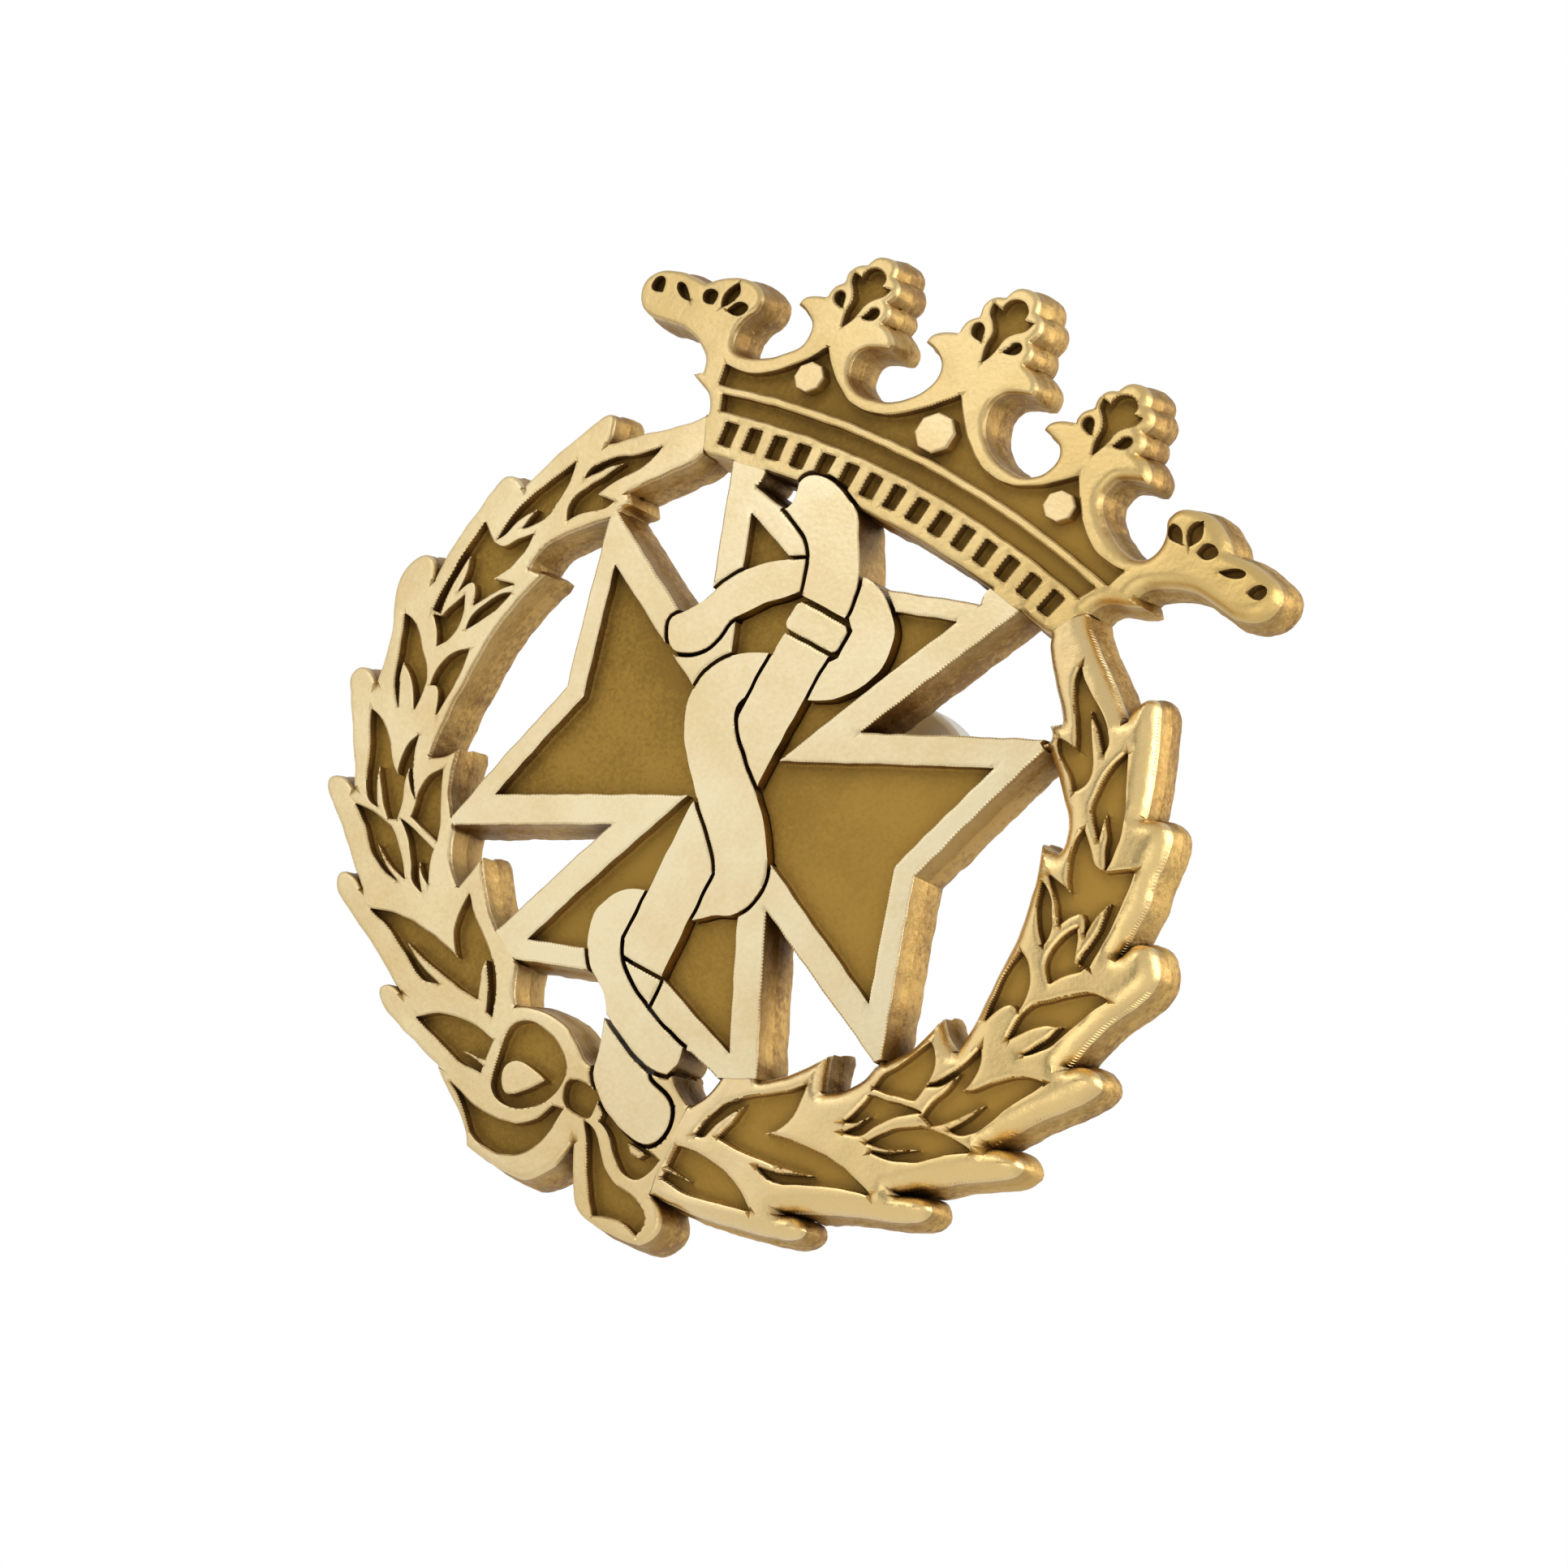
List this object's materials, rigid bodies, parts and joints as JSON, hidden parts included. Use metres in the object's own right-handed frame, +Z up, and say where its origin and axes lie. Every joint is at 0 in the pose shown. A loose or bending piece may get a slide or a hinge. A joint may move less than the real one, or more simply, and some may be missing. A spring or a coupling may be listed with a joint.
{
  "type": "cap badge",
  "caption": "Domed pierced cap badge: coronet, laurel wreath, eight-pointed cross, staff with serpent and ribbon bow, on posts with butterfly clutches.",
  "frame": {"origin": "the middle of the cross on the badge's domed face, which is where the cap seats the badge from in front and behind", "axes": "+Z up the badge towards the coronet, the face looks along -Y, the posts point along +Y, +X to the right seen from the front"},
  "size_m": [0.048, 0.0128, 0.0512],
  "materials": {
    "gilt": "satin",
    "post_brass": "satin",
    "clutch_plate": "satin"
  },
  "bodies": {
    "badge": {"cross": "gilt", "wreath_left": "gilt", "wreath_right": "gilt", "coronet": "gilt", "pearls": "gilt", "ribbon_bow": "gilt", "staff": "gilt", "staff_collar": "gilt", "serpent_head": "gilt", "serpent_upper_coil": "gilt", "serpent_middle_coil": "gilt", "serpent_lower_coil": "gilt", "serpent_tail": "gilt", "left_post": "post_brass", "right_post": "post_brass"},
    "left_clutch": {"left_clutch_cup": "clutch_plate"},
    "left_inner_wing": {"left_wing_inner": "clutch_plate"},
    "left_outer_wing": {"left_wing_outer": "clutch_plate"},
    "right_clutch": {"right_clutch_cup": "clutch_plate"},
    "right_inner_wing": {"right_wing_inner": "clutch_plate"},
    "right_outer_wing": {"right_wing_outer": "clutch_plate"}
  },
  "joints": [
    {"name": "left_clutch_slide", "type": "slide", "parent": "badge", "child": "left_clutch", "axis": [0, 1, 0], "range_m": [0, 0.0085]},
    {"name": "left_outer_squeeze", "type": "hinge", "parent": "left_clutch", "child": "left_outer_wing", "pos_m": [-0.00756, 0.00624, 0.0029], "axis": [0, 0, -1], "range_deg": [0, 10], "stiffness_Nm_per_rad": 0.0002},
    {"name": "left_inner_squeeze", "type": "hinge", "parent": "left_clutch", "child": "left_inner_wing", "pos_m": [-0.00324, 0.00624, 0.0029], "axis": [0, 0, 1], "range_deg": [0, 10], "stiffness_Nm_per_rad": 0.0002},
    {"name": "right_clutch_slide", "type": "slide", "parent": "badge", "child": "right_clutch", "axis": [0, 1, 0], "range_m": [0, 0.0085]},
    {"name": "right_outer_squeeze", "type": "hinge", "parent": "right_clutch", "child": "right_outer_wing", "pos_m": [0.00756, 0.00624, 0.0029], "axis": [0, 0, 1], "range_deg": [0, 10], "stiffness_Nm_per_rad": 0.0002},
    {"name": "right_inner_squeeze", "type": "hinge", "parent": "right_clutch", "child": "right_inner_wing", "pos_m": [0.00324, 0.00624, 0.0029], "axis": [0, 0, -1], "range_deg": [0, 10], "stiffness_Nm_per_rad": 0.0002}
  ],
  "couplings": [
    {"joint": "left_inner_squeeze", "follows": "left_outer_squeeze", "ratio": 1},
    {"joint": "right_inner_squeeze", "follows": "right_outer_squeeze", "ratio": 1}
  ]
}
